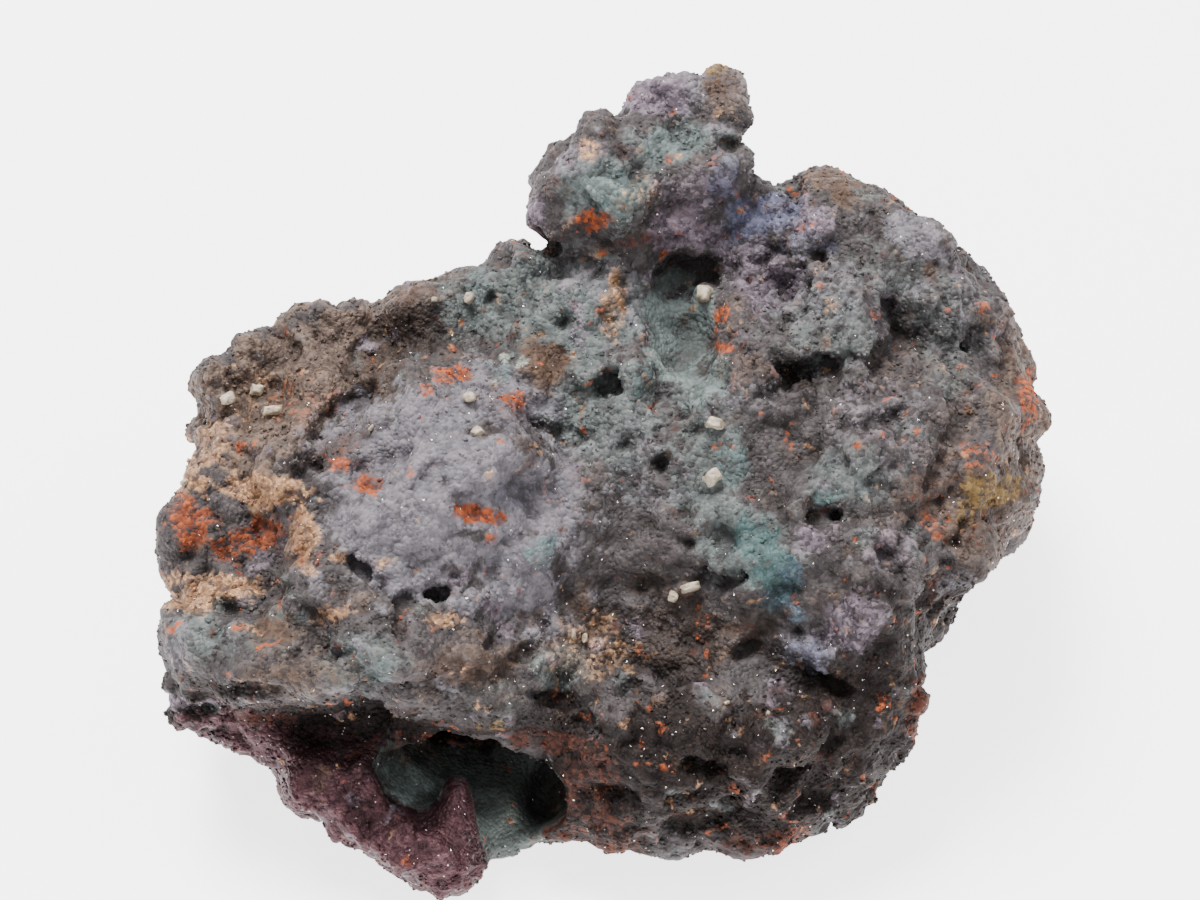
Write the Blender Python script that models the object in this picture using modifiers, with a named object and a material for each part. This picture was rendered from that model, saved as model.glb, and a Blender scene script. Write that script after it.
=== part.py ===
# A native copper nugget: one lumpy crusted mass, as it lies on a table.
#
# Most of it is laid out on its broad face, which looks up and forward. "across" runs to the
# right along that face, "up" runs up it and "out" stands out of it, all in millimetres from
# FACE_CENTRE. The masses that carry the face are laid out standing on the table, as x, y, z.
import math

import bmesh
import bpy
from mathutils import Matrix, Vector, noise
from mathutils.bvhtree import BVHTree

MM = 0.001
NAME = "copper_nugget"

FACE_ELEVATION = math.radians(50)
FACE_CENTRE = Vector((0, 0, 25))
FACE_DRAFT = 1 / 420  # the outline narrows by this share for each millimetre out of the face
FACE_BACK = -52
FACE_FRONT = 32
TABLE_WIDTH = 200
TABLE_DEPTH = 60

# How finely the masses are fused, and how many triangles the finished crust keeps.
FUSE_VOXEL = 1.0
FINE_VOXEL = 0.5
FINAL_VOXEL = 0.85
MOST_TRIANGLES = 9000

# The crust's relief: broad swells, lumps on them and nodules on those, in and out of the surface.
NOISE_SEED = 6  # settles where the lumps fall
NOISE_FADE = 0.9
NOISE_STEP = 2.1
SWELL_SIZE = 12.0
SWELL_HEIGHT = 2.4
LUMP_SIZE = 13.0
LUMP_HEIGHT = 3.6
NODULE_SIZE = 6.2
NODULE_HEIGHT = 2.8
LUMP_TOP = 0.4  # a lump's top, as a share of its height above the surface it grows on
LUMP_REACH = 0.78  # how far a lump spreads from its centre, as a share of its size
LUMP_BEND = 0.35  # how far the lumps are pulled out of round, as a share of their size
LUMP_BEND_SIZE = 1.3
RIM_SIZE = 3.0
RIM_HEIGHT = 1.2
CREASE_WAVER = 0.4  # how much a crease's width varies, as a share of it
CREASE_WAVER_SIZE = 3.0

GRAIN_SUNK = 0.33  # the share of a pale grain that sits in the crust
GRAIN_TAPER = 0.8

# The nugget's outline, square on to the face, clockwise from the horn's tip.
OUTLINE = [
    (10.2, 47.0), (13.0, 47.3), (15.0, 46.0), (16.5, 43.5), (16.2, 41.3), (15.0, 40.3), (14.8, 37.7),
    (16.3, 37.1), (16.2, 33.8), (20.0, 33.4), (23.0, 32.6), (23.3, 34.5), (25.2, 35.4), (28.0, 35.1),
    (30.0, 33.0), (32.5, 31.4), (36.5, 30.0), (39.3, 28.2), (40.6, 25.8), (44.5, 22.0), (46.8, 19.7),
    (48.2, 16.8), (48.3, 12.2), (49.7, 9.4), (50.0, 0.5), (49.2, -3.5), (48.2, -6.6), (43.0, -9.8),
    (40.7, -12.8), (40.2, -15.6), (38.2, -17.9), (36.5, -19.0), (35.2, -21.5), (36.6, -24.6), (36.7, -27.6),
    (35.8, -30.3), (33.4, -32.3), (31.3, -35.3), (29.3, -37.8), (24.0, -40.8), (22.0, -42.6), (19.4, -43.0),
    (13.5, -41.6), (9.0, -42.6), (5.0, -43.0), (0.0, -42.0), (-3.0, -40.8), (-8.0, -40.2), (-9.6, -42.6),
    (-13.0, -43.3), (-14.0, -46.0), (-15.6, -47.0), (-18.5, -46.3), (-24.4, -45.4), (-25.2, -43.2),
    (-32.0, -40.0), (-34.6, -37.9), (-36.5, -34.5), (-38.0, -30.6), (-44.6, -30.4), (-47.2, -28.8),
    (-48.6, -25.5), (-49.0, -21.0), (-50.0, -18.4), (-49.4, -15.8), (-48.0, -14.7), (-48.8, -11.2),
    (-50.0, -8.0), (-49.0, -4.8), (-47.4, -0.4), (-45.7, 1.2), (-46.4, 5.0), (-45.0, 6.8), (-46.0, 11.4),
    (-44.4, 13.8), (-40.6, 16.2), (-37.6, 16.9), (-34.2, 20.1), (-30.0, 19.7), (-25.2, 20.6), (-20.6, 23.5),
    (-17.8, 24.5), (-13.5, 23.3), (-11.3, 24.3), (-10.6, 26.9), (-7.5, 27.3), (-4.9, 26.4), (-4.6, 27.2),
    (-7.8, 29.4), (-8.4, 31.4), (-7.0, 34.9), (-5.4, 37.0), (-1.5, 39.7), (-1.1, 41.3), (0.4, 41.5),
    (1.6, 40.6), (2.8, 41.6), (3.4, 43.6), (4.6, 45.4), (8.5, 46.4),
]

# Masses that stand on the table: x, y, z of the centre, then the three radii.
STANDING_MASSES = {
    "right_dome": (25, 6, 22, 28, 32, 22),
    "right_heel": (28, 14, 15, 20, 22, 15.6),
    "left_mass": (-21, -3, 20, 26, 23, 20.2),
    "back_mass": (-2, 13, 21, 26, 23, 21.4),
    "left_shoulder": (-33, 5, 18, 17, 18, 16),
    "front_right": (13, -20, 14, 27, 17.5, 13.6),
    "jaw_root": (-18, -27, 8, 19, 13, 7.8),
}

# Lobes on the face: across, up, out of the centre, then radii across, up and out, and a turn in degrees.
FACE_LOBES = {
    "left_lobe": (-20, -4, 9, 16, 17, 12, 12),
    "left_lobe_crown": (-21, 4, 8, 12, 10, 9, 20),
    "lobe_corner": (-5, -1, 8, 7.5, 9, 8, 0),
    "left_brow": (-27, -17, 11, 21, 9, 11, -4),
    "brow_lip": (-28, -20.2, 17, 20, 6.0, 7, -4),
    "brow_edge": (-28, -22.8, 18, 20, 4.2, 5.2, -4),
    "brow_roll": (-17, -23.2, 15, 12, 5, 7, -8),
    "brow_tip": (-9, -22.8, 15, 6, 5, 7, 0),
    "brow_hook": (-5.5, -25, 12, 4, 2.2, 3, -20),
    "lower_left_nose": (-41.5, -19.4, 11, 10.5, 7.5, 10, 0),
    "nose_chin": (-42.5, -25, 6, 9.5, 8, 9.5, 0),
    "left_flank": (-42, -6, 1, 11, 13, 11, 10),
    "flank_bump": (-46, -8, 0, 5, 4.5, 5, 0),
    "left_ear": (-40, 9, -6, 10, 10, 11, 20),
    "ear_tip": (-42, 11.5, -5, 5, 4, 5, 30),
    "shoulder_crest": (-30, 13, -5, 12, 9, 10, 15),
    "shoulder_knob": (-33, 17, -6, 4, 4, 5, 0),
    "upper_crest": (-17, 17, -3, 10, 8, 9, 15),
    "crest_top": (-18.5, 21, -4, 6, 5, 6, 10),
    "crest_knuckle": (-8, 23.2, -3, 5.2, 6.2, 7, 0),
    "mid_plateau": (-4, 11, -1, 12, 15, 10, 0),
    "recess_wall": (3, 19, -1, 4, 9, 8, 5),
    "horn_cheek": (0.5, 33, 1, 10.5, 9, 9, 25),
    "horn_cheek_low": (0, 30, 3, 7, 4, 6, 10),
    "horn_neck": (10.0, 35, -2, 8.5, 9, 10, 0),
    "horn_throat": (9.5, 28.5, 1, 5, 4, 6, 0),
    "horn_tip": (10.2, 42.6, -2, 8.4, 6.2, 7.5, 5),
    "horn_thorn": (0, 39.8, -2, 2.6, 3.0, 4, 0),
    "horn_root": (14, 28, -3, 9, 8, 9, 0),
    "back_crest": (21, 27, -4, 14, 9, 11, -5),
    "far_ear": (26.5, 32, -6, 5.6, 5.4, 7, -15),
    "right_brow": (36, 21, -3, 13, 12, 11, -30),
    "right_shoulder": (43, 14, -4, 9.5, 11, 10, 0),
    "right_cheek": (41, 2, -2, 12.5, 14, 11, 0),
    "right_face": (27, 3, 4, 15, 15, 9, 0),
    "right_boss": (28, 18, 3, 7.5, 6, 7, -10),
    "right_jowl": (29, -11, 4, 14.5, 10, 10, 20),
    "belly_knot": (12, -16.5, 7, 7, 4, 6, 15),
    "front_chin": (28, -28, 4, 11.5, 11, 11, 0),
    "front_shelf": (13, -27, 6, 15, 5, 8, -6),
    "front_belly": (15, -34, 5, 16, 10.5, 9.6, 0),
    "front_toe": (3, -35, 4.5, 13, 10, 10, 0),
    "toe_left": (-3, -33, 8, 5, 7, 6, 0),
    "jaw": (-20, -38, 7.5, 19, 10, 8.4, -8),
    "jaw_left": (-30, -34.5, 6, 13, 10, 9, -30),
    "jaw_heel": (-34, -33, 2, 10, 9, 9, 0),
    "jaw_tip": (-18.5, -42.5, 8.5, 8, 7, 7, 0),
}

# Hollows cut into the face, in the same terms as the lobes.
FACE_HOLLOWS = {
    "mouth_front": (-14.5, -35.6, 14.5, 9.8, 5.6, 9.0, -8),
    "mouth_left": (-21.8, -33.6, 14, 4.4, 3.8, 7.5, -20),
    "mouth_notch": (-10.5, -41, 14, 4, 4.6, 8, 15),
    "mouth_throat": (-6.5, -35.5, 8, 3.5, 4.0, 9, 0),
    "brow_undercut": (-31, -29.4, 18, 18, 3.2, 8.5, -6),
    "horn_recess": (9.5, 18.5, 9, 4.4, 7.5, 9, 6),
    "recess_roof": (9.5, 23.5, 4, 4.6, 3.2, 7, 0),
}

# Pits and creases, placed on the surface seen square on to the face: across, up, how deep the
# centre lies, then radii across, up and out, and a turn in degrees.
FACE_PITS = {
    "middle_recess": (4.0, -16.0, 0.3, 11.5, 8.5, 5.2, -12),
    "round_pit": (1.0, 11.2, 1.5, 1.8, 2.1, 4.0, 0),
    "small_pit": (-4.3, 18.0, 1.0, 1.2, 1.0, 3.0, 20),
    "grain_pit": (-12.5, 6.0, 0.5, 2.8, 1.7, 2.6, 20),
    "lobe_pit": (-6.0, 6.0, 0.5, 2.6, 1.8, 3.0, -10),
    "rust_slot": (-13.5, -3.8, 0.4, 3.0, 1.2, 1.8, -8),
    "side_hollow": (24.0, 12.4, 1.0, 4.2, 2.0, 4.5, 6),
    "edge_hollow": (-4.0, -23.0, 0.5, 2.4, 3.4, 4.0, -30),
    "shoulder_pit": (34.0, 17.5, 0.0, 2.6, 4.2, 2.4, 20),
}

# Creases along the surface: half width and depth, then the points they pass, across and up.
FACE_CREASES = {
    "front_crease": (1.2, 3.0, [(-4, -25), (0, -28.5), (6, -31), (15, -31), (20, -33), (27, -35)]),
    "belly_crease": (0.9, 2.2, [(4, -25.5), (9, -23.5), (14, -24), (18, -21.5)]),
    "dome_crack": (1.0, 2.6, [(28, 4.2), (31.5, 4.8), (36, 8)]),
    "hollow_crack": (1.1, 3.0, [(19, 15.5), (21.5, 12.5), (27, 12)]),
    "lobe_groove": (1.2, 2.4, [(-35, 1.5), (-31, 5), (-26, 9.5), (-21, 12.5), (-15, 12)]),
    "lobe_crack": (0.8, 1.8, [(-28, -9.5), (-24, -10), (-21.5, -13), (-18, -13.5)]),
    "nose_crease": (0.9, 1.8, [(-45, -14.5), (-40, -15), (-36, -17), (-31, -16)]),
    "cheek_crease": (0.9, 2.0, [(22, -4), (26, -3), (29, -6)]),
    "jowl_crease": (0.9, 2.0, [(22, -24), (27, -22.5), (31, -25)]),
    "crest_crease": (0.9, 2.0, [(-15, 14), (-12, 17.5), (-12, 21)]),
}

# Pale grains on the face: across, up, then length, width and height, and a turn in degrees.
GRAINS = {
    "ear_grain": (-42.5, 9.3, 2.0, 1.6, 1.5, 20),
    "ear_grain_right": (-39.3, 10.1, 1.8, 1.5, 1.4, -15),
    "ear_grain_low": (-37.4, 7.9, 2.6, 1.3, 1.3, 5),
    "pit_grain": (-15.0, 9.5, 1.9, 1.4, 1.3, 15),
    "pit_grain_low": (-14.0, 5.3, 1.7, 1.6, 1.4, 40),
    "crest_grain": (-15.0, 20.8, 1.6, 1.3, 1.3, 60),
    "recess_grain": (12.0, 21.2, 2.4, 2.2, 1.9, 75),
    "recess_grain_low": (13.2, 6.4, 2.6, 1.4, 1.4, -15),
    "face_grain": (12.8, 0.2, 2.2, 2.0, 1.7, 35),
    "belly_rod": (10.3, -12.3, 2.8, 1.2, 1.4, 15),
    "belly_grain": (8.4, -13.2, 1.4, 1.2, 1.2, -20),
}

# Leaves that stand inside the hollows.
FACE_LEAVES = {
    "tongue_tip": (-16.2, -36.6, 10.5, 1.7, 3.6, 3.0, 6),
    "tongue": (-16.7, -40.2, 10.5, 2.9, 5.0, 3.8, 10),
    "tongue_root": (-17.6, -43.6, 9.5, 4.8, 4.0, 5.0, 10),
}

# Caves behind the face, standing on the table in the same terms as the masses.
CAVES = {
    "mouth_cave": (-13.5, -24, 11, 9, 10, 6),
}


def face_place(across, up, out):
    # A point of the face plan as a place on the table, in metres.
    narrowed = 1 - out * FACE_DRAFT
    sine, cosine = math.sin(FACE_ELEVATION), math.cos(FACE_ELEVATION)
    rise = up * narrowed
    return (FACE_CENTRE + Vector((
        across * narrowed,
        rise * sine - out * cosine,
        rise * cosine + out * sine,
    ))) * MM


def face_turn():
    # Turns x, y, z into across, up and out of the face.
    return Matrix.Rotation(math.pi / 2 - FACE_ELEVATION, 4, "X")


def add_ball(bm, place, turn, radii, fineness=3):
    size = Matrix.Diagonal((*[r * MM for r in radii], 1))
    bmesh.ops.create_icosphere(
        bm, subdivisions=fineness, radius=1, matrix=Matrix.Translation(place) @ turn @ size
    )


def add_face_balls(bm, lobes):
    for across, up, out, *radii, turn in lobes.values():
        turned = face_turn() @ Matrix.Rotation(math.radians(turn), 4, "Z")
        add_ball(bm, face_place(across, up, out), turned, radii)


def new_object(name, bm, collection):
    mesh = bpy.data.meshes.new(name)
    bm.to_mesh(mesh)
    bm.free()
    made = bpy.data.objects.new(name, mesh)
    collection.objects.link(made)
    return made


def as_cutter(cutter):
    cutter.hide_render = True
    cutter.display_type = "WIRE"
    return cutter


def settle(thing):
    # Keeps what the modifiers make as the object's own mesh.
    graph = bpy.context.evaluated_depsgraph_get()
    mesh = bpy.data.meshes.new_from_object(thing.evaluated_get(graph))
    thing.modifiers.clear()
    thing.data = mesh


def fuse(thing, voxel=FUSE_VOXEL):
    remesh = thing.modifiers.new("fuse", "REMESH")
    remesh.mode = "VOXEL"
    remesh.voxel_size = voxel * MM
    settle(thing)


def lumps(place, size):
    # Round lumps with creases between them: a bowl turned over, by the distance to the nearest
    # centre, from LUMP_TOP on top of each lump down to LUMP_TOP - 1.
    bent = place + noise.noise_vector(place / (LUMP_BEND_SIZE * size)) * LUMP_BEND * size
    nearest = noise.voronoi(bent / size)[0]
    return LUMP_TOP - min(1.0, (nearest[0] / LUMP_REACH) ** 2)


def swells(place, size, layers):
    return noise.fractal(place / size, NOISE_FADE, NOISE_STEP, layers)


def roughen(thing, height, voxel=FUSE_VOXEL):
    # Moves each point along its normal by height, in millimetres, of its place in millimetres.
    mesh = thing.data
    moved = [v.co + v.normal * height(v.co / MM) * MM for v in mesh.vertices]
    for vertex, place in zip(mesh.vertices, moved):
        vertex.co = place
    fuse(thing, voxel)


def combine(thing, other, operation, solver="EXACT"):
    boolean = thing.modifiers.new(other.name, "BOOLEAN")
    boolean.operation = operation
    boolean.solver = solver
    boolean.object = other
    settle(thing)


def sight_tree(thing):
    bm = bmesh.new()
    bm.from_mesh(thing.data)
    tree = BVHTree.FromBMesh(bm)
    bm.free()
    return tree


def face_sight(tree, across, up):
    # Where the surface is met looking square on to the face, the way out there, and the sight line.
    start = face_place(across, up, FACE_FRONT)
    line = (face_place(across, up, FACE_BACK) - start).normalized()
    place, normal, _, _ = tree.ray_cast(start, line)
    return place, normal, line


def add_pits(bm, tree):
    for across, up, depth, *radii, turn in FACE_PITS.values():
        place, _, line = face_sight(tree, across, up)
        turned = face_turn() @ Matrix.Rotation(math.radians(turn), 4, "Z")
        add_ball(bm, place + line * depth * MM, turned, radii)


def add_creases(bm, tree):
    for half_width, depth, route in FACE_CREASES.values():
        for start, end in zip(route, route[1:]):
            start, end = Vector(start), Vector(end)
            steps = max(1, round((end - start).length / half_width))
            for step in range(steps + 1):
                across, up = start.lerp(end, step / steps)
                place, _, _ = face_sight(tree, across, up)
                waver = noise.noise(Vector((across, up, 0)) / CREASE_WAVER_SIZE)
                width = half_width * (1 + CREASE_WAVER * waver)
                add_ball(bm, place, face_turn(), (width, width, depth), fineness=2)


def add_grains(bm, tree):
    # Blocks a little narrower at the top. What stands out of the crust has the grain's height.
    for across, up, length, width, height, turn in GRAINS.values():
        place, normal, line = face_sight(tree, across, up)
        stand = (normal - line).normalized().to_track_quat("Z", "Y").to_matrix().to_4x4()
        turned = stand @ Matrix.Rotation(math.radians(turn), 4, "Z")
        made = bmesh.ops.create_cube(bm, size=1)["verts"]
        for vert in made:
            narrow = GRAIN_TAPER if vert.co.z > 0 else 1.0
            corner = Vector((
                vert.co.x * length * narrow,
                vert.co.y * width * narrow,
                (vert.co.z + 0.5 - GRAIN_SUNK) * height / (1 - GRAIN_SUNK),
            ))
            vert.co = turned @ (corner * MM) + place


def outline_block(collection):
    bm = bmesh.new()
    back = bm.faces.new([bm.verts.new(face_place(a, u, FACE_BACK)) for a, u in OUTLINE])
    made = bmesh.ops.extrude_face_region(bm, geom=[back])
    front = [v for v in made["geom"] if isinstance(v, bmesh.types.BMVert)]
    for vert, (across, up) in zip(front, OUTLINE):
        vert.co = face_place(across, up, FACE_FRONT)
    bmesh.ops.recalc_face_normals(bm, faces=bm.faces)
    return as_cutter(new_object("outline_block", bm, collection))


def hollows(nugget, collection):
    bm = bmesh.new()
    tree = sight_tree(nugget)
    add_pits(bm, tree)
    add_creases(bm, tree)
    add_face_balls(bm, FACE_HOLLOWS)
    for x, y, z, *radii in CAVES.values():
        add_ball(bm, Vector((x, y, z)) * MM, Matrix(), radii)
    cutter = as_cutter(new_object("hollows", bm, collection))
    fuse(cutter, FINE_VOXEL)
    roughen(cutter, lambda at: RIM_HEIGHT * swells(at, RIM_SIZE, 2), FINE_VOXEL)
    return cutter


def grains(nugget, collection):
    bm = bmesh.new()
    add_grains(bm, sight_tree(nugget))
    return as_cutter(new_object("pale_grains", bm, collection))


def drop_crumbs(thing):
    # Keeps the one large body and drops loose slivers of a few points.
    bm = bmesh.new()
    bm.from_mesh(thing.data)
    unseen = set(bm.verts)
    bodies = []
    while unseen:
        body = [unseen.pop()]
        for vert in body:
            linked = {edge.other_vert(vert) for edge in vert.link_edges} & unseen
            unseen -= linked
            body.extend(linked)
        bodies.append(body)
    largest = max(bodies, key=len)
    crumbs = [vert for body in bodies if body is not largest for vert in body]
    bmesh.ops.delete(bm, geom=crumbs, context="VERTS")
    bm.to_mesh(thing.data)
    bm.free()


def centre_on_table(thing):
    # The origin comes under the middle of the nugget, at the height of the table.
    places = [vertex.co for vertex in thing.data.vertices]
    middle = [(min(p[i] for p in places) + max(p[i] for p in places)) / 2 for i in range(2)]
    thing.data.transform(Matrix.Translation((-middle[0], -middle[1], 0)))


def leaves(collection):
    bm = bmesh.new()
    add_face_balls(bm, FACE_LEAVES)
    made = as_cutter(new_object("leaves", bm, collection))
    fuse(made, FINE_VOXEL)
    return made


def table_block(collection):
    size = Matrix.Diagonal((TABLE_WIDTH * MM, TABLE_WIDTH * MM, TABLE_DEPTH * MM, 1))
    under = Matrix.Translation((0, 0, -TABLE_DEPTH / 2 * MM))
    bm = bmesh.new()
    bmesh.ops.create_cube(bm, size=1, matrix=under @ size)
    return as_cutter(new_object("table_block", bm, collection))


def copper_material():
    material = bpy.data.materials.new("tarnished_copper")
    material.use_nodes = True
    shader = material.node_tree.nodes["Principled BSDF"]
    shader.inputs["Base Color"].default_value = (0.13, 0.105, 0.11, 1)
    shader.inputs["Roughness"].default_value = 0.6
    shader.inputs["Metallic"].default_value = 0.35
    return material


def build():
    for thing in list(bpy.data.objects):
        bpy.data.objects.remove(thing)
    parts = bpy.data.collections.new("native_copper_nugget")
    cutters = bpy.data.collections.new("cutters")
    bpy.context.scene.collection.children.link(parts)
    bpy.context.scene.collection.children.link(cutters)

    noise.seed_set(NOISE_SEED)
    bm = bmesh.new()
    for x, y, z, *radii in STANDING_MASSES.values():
        add_ball(bm, Vector((x, y, z)) * MM, Matrix(), radii, fineness=4)
    add_face_balls(bm, FACE_LOBES)
    nugget = new_object(NAME, bm, parts)
    fuse(nugget)
    roughen(nugget, lambda at: SWELL_HEIGHT * swells(at, SWELL_SIZE, 3))
    roughen(nugget, lambda at: LUMP_HEIGHT * lumps(at, LUMP_SIZE))
    combine(nugget, outline_block(cutters), "INTERSECT")
    fuse(nugget)
    roughen(nugget, lambda at: NODULE_HEIGHT * lumps(at, NODULE_SIZE))
    combine(nugget, hollows(nugget, cutters), "DIFFERENCE")
    combine(nugget, leaves(cutters), "UNION")
    fuse(nugget, FINAL_VOXEL)
    thin = nugget.modifiers.new("thin", "DECIMATE")
    thin.ratio = MOST_TRIANGLES / sum(len(face.vertices) - 2 for face in nugget.data.polygons)
    settle(nugget)
    # The thinned mesh is one that the exact solver can lose, so these two use the other one.
    combine(nugget, grains(nugget, cutters), "UNION", solver="MANIFOLD")
    combine(nugget, table_block(cutters), "DIFFERENCE", solver="MANIFOLD")
    drop_crumbs(nugget)
    centre_on_table(nugget)
    nugget.data.materials.clear()
    nugget.data.materials.append(copper_material())


build()
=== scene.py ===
import itertools
import math

import bmesh
import bpy
import numpy as np
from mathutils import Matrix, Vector
from mathutils.bvhtree import BVHTree


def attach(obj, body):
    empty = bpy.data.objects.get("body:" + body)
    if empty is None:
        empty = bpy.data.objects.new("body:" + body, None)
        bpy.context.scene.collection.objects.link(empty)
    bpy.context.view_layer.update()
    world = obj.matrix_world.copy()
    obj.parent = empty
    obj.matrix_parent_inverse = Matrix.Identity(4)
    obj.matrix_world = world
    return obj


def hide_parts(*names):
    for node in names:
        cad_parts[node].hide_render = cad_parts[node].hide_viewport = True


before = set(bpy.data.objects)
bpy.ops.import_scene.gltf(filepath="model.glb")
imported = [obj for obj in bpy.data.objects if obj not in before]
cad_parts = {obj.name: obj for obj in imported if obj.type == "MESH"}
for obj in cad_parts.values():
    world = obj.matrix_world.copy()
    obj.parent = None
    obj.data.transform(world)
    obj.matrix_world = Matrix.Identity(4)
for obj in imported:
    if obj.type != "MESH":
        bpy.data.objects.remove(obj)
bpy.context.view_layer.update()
mm = 0.001

# How the nugget is looked at, in mm. The face plan has "across" to the right, "up" up the face and
# "out" towards the eye, from faceCentre.
sight = dict(
    faceCentre=(-0.89, 1.78, 25.0),
    elevation=50,  # degrees above the table
    distance=420.0,
    frameWidth=137.14,  # how much of the face plan fits across the picture
    sensor=36,
    nearest=0.01,  # m
    rise=0.025,  # the picture's middle lies this share of its width above faceCentre
)

tilt = math.radians(sight["elevation"])
eyeRight = np.array([1.0, 0.0, 0.0])
eyeUp = np.array([0.0, math.sin(tilt), math.cos(tilt)])
eyeBack = np.array([0.0, -math.cos(tilt), math.sin(tilt)])
faceCentre = np.array(sight["faceCentre"])


def onFace(at):
    # across and up are shares of the view at the face's distance: side over (1 - out / distance)
    away = at - faceCentre
    out = away @ eyeBack
    nearer = 1 - out / sight["distance"]
    return away @ eyeRight / nearer, away @ eyeUp / nearer, out


def offFace(across, up, out):
    # the way back from the face plan to a place, in mm
    nearer = 1 - out / sight["distance"]
    return faceCentre + across * nearer * eyeRight + up * nearer * eyeUp + out * eyeBack


# Noise, worked out on whole arrays of places in mm. Each use has its own whole number, the salt.

skew = np.linalg.qr(np.array([[3.0, 1, 2], [-1, 4, 1], [2, -2, 5]]))[0]  # turns each layer off the axes
scramble = dict(
    counts=np.array([374761393, 668265263, 1442695041]),  # large odd numbers, one for each count
    salt=97531,
    stir=1274126177,
    keep=0xFFFFFFFF,  # the lowest 32 bits
    give=0xFFFFFF,  # the lowest 24 bits, which make the number
)
noiseShape = dict(
    finer=2.03,  # each layer's waves are so many times smaller than the last layer's
    weaker=0.55,  # and have this share of their strength
    stretch=1.6,  # brings the sum to about -1 to 1
)
knobShape = dict(
    top=0.45,
    radius=0.85,  # of each bowl, in cells
)


def cellNumber(cell, salt):
    # the three counts of a cell, times a large number each, scrambled into one number from 0 to 1
    keep, give = scramble["keep"], scramble["give"]
    mixed = ((cell * scramble["counts"]).sum(1) + salt * scramble["salt"]) & keep
    mixed = ((mixed ^ (mixed >> 13)) * scramble["stir"]) & keep
    return ((mixed ^ (mixed >> 16)) & give) / give


def softNoise(at, size, salt=0, layers=1):
    # random numbers on a lattice of this size in mm, blended by 6t^5 - 15t^4 + 10t^3, from about -1 to 1,
    # and each further layer finer and weaker than the last
    total, weight = np.zeros(len(at)), 0.0
    for layer in range(layers):
        at = at @ skew
        scaled = at / size * noiseShape["finer"] ** layer
        cell = np.floor(scaled).astype(np.int64)
        part = scaled - cell
        soft = part ** 3 * (part * (part * 6 - 15) + 10)
        strength = noiseShape["weaker"] ** layer
        for corner in itertools.product((0, 1), repeat=3):
            share = np.prod(np.where(corner, soft, 1 - soft), axis=1)
            total += strength * share * (cellNumber(cell + corner, salt + layer * 7) * 2 - 1)
        weight += strength
    return total / weight * noiseShape["stretch"]


def nearestPoint(at, size, salt=0):
    # one scattered point in each cell: the distances to the nearest and to the next one, in cells, and the
    # nearest one's number from 0 to 1
    scaled = at @ skew / size
    cell = np.floor(scaled).astype(np.int64)
    first = np.full(len(at), np.inf)
    second = np.full(len(at), np.inf)
    number = np.zeros(len(at))
    for step in itertools.product((-1, 0, 1), repeat=3):
        near = cell + step
        point = near + np.stack([cellNumber(near, salt + k) for k in (1, 2, 3)], axis=1)
        away = np.sqrt(((point - scaled) ** 2).sum(1))
        closer = away < first
        second = np.where(closer, first, np.minimum(second, away))
        number = np.where(closer, cellNumber(near, salt + 4), number)
        first = np.where(closer, away, first)
    return first, second, number


def knobs(at, size, salt=0):
    # turned-over bowls round scattered points: the top less the square of distance over radius, at most 1,
    # so 0.45 on the knobs and -0.55 in the creases between them
    away = nearestPoint(at, size, salt)[0]
    return knobShape["top"] - np.minimum(1.0, (away / knobShape["radius"]) ** 2)


def ease(value, low, high):
    # 0 below low, 1 above high, 3t^2 - 2t^3 of the way t between them
    part = np.clip((value - low) / (high - low), 0, 1)
    return part * part * (3 - 2 * part)


# Mesh work on whole arrays

def placesOf(mesh):
    # a mesh's points in mm
    places = np.empty(len(mesh.vertices) * 3, np.float32)
    mesh.vertices.foreach_get("co", places)
    return places.reshape(-1, 3).astype(float) / mm


def putPlaces(mesh, places):
    mesh.vertices.foreach_set("co", (places * mm).astype(np.float32).ravel())
    mesh.update()


def normalsOf(mesh):
    # the unit vector that points outwards at each point
    normals = np.empty(len(mesh.vertices) * 3, np.float32)
    mesh.vertex_normals.foreach_get("vector", normals)
    return normals.reshape(-1, 3).astype(float)


def evened(mesh, values, times, share=0.5):
    # each value goes part of the way to the mean of its neighbours along the mesh's edges, so many times
    ends = np.empty(len(mesh.edges) * 2, np.int32)
    mesh.edges.foreach_get("vertices", ends)
    ends = ends.reshape(-1, 2)
    here = np.concatenate([ends[:, 0], ends[:, 1]])
    there = np.concatenate([ends[:, 1], ends[:, 0]])
    neighbours = np.maximum(1, np.bincount(here, minlength=len(values)))
    columns = values.reshape(len(values), -1).copy()
    for _ in range(times):
        for k in range(columns.shape[1]):
            mean = np.bincount(here, weights=columns[there, k], minlength=len(values)) / neighbours
            columns[:, k] += share * (mean - columns[:, k])
    return columns.reshape(values.shape)


def settled(thing):
    # the mesh that the modifiers make becomes the object's own
    graph = bpy.context.evaluated_depsgraph_get()
    mesh = bpy.data.meshes.new_from_object(thing.evaluated_get(graph))
    thing.modifiers.clear()
    thing.data = mesh
    return mesh


def revoxeled(thing, size):
    # a new closed skin of even squares, size in mm
    made = thing.modifiers.new("skin", "REMESH")
    made.mode = "VOXEL"
    made.voxel_size = size * mm
    return settled(thing)


def thinned(thing, mostTriangles):
    # the mesh with its flattest edges taken out, where it has too many triangles
    triangles = sum(len(face.vertices) - 2 for face in thing.data.polygons)
    if triangles > mostTriangles:
        made = thing.modifiers.new("thin", "DECIMATE")
        made.ratio = mostTriangles / triangles
        settled(thing)
    return thing.data


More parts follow.
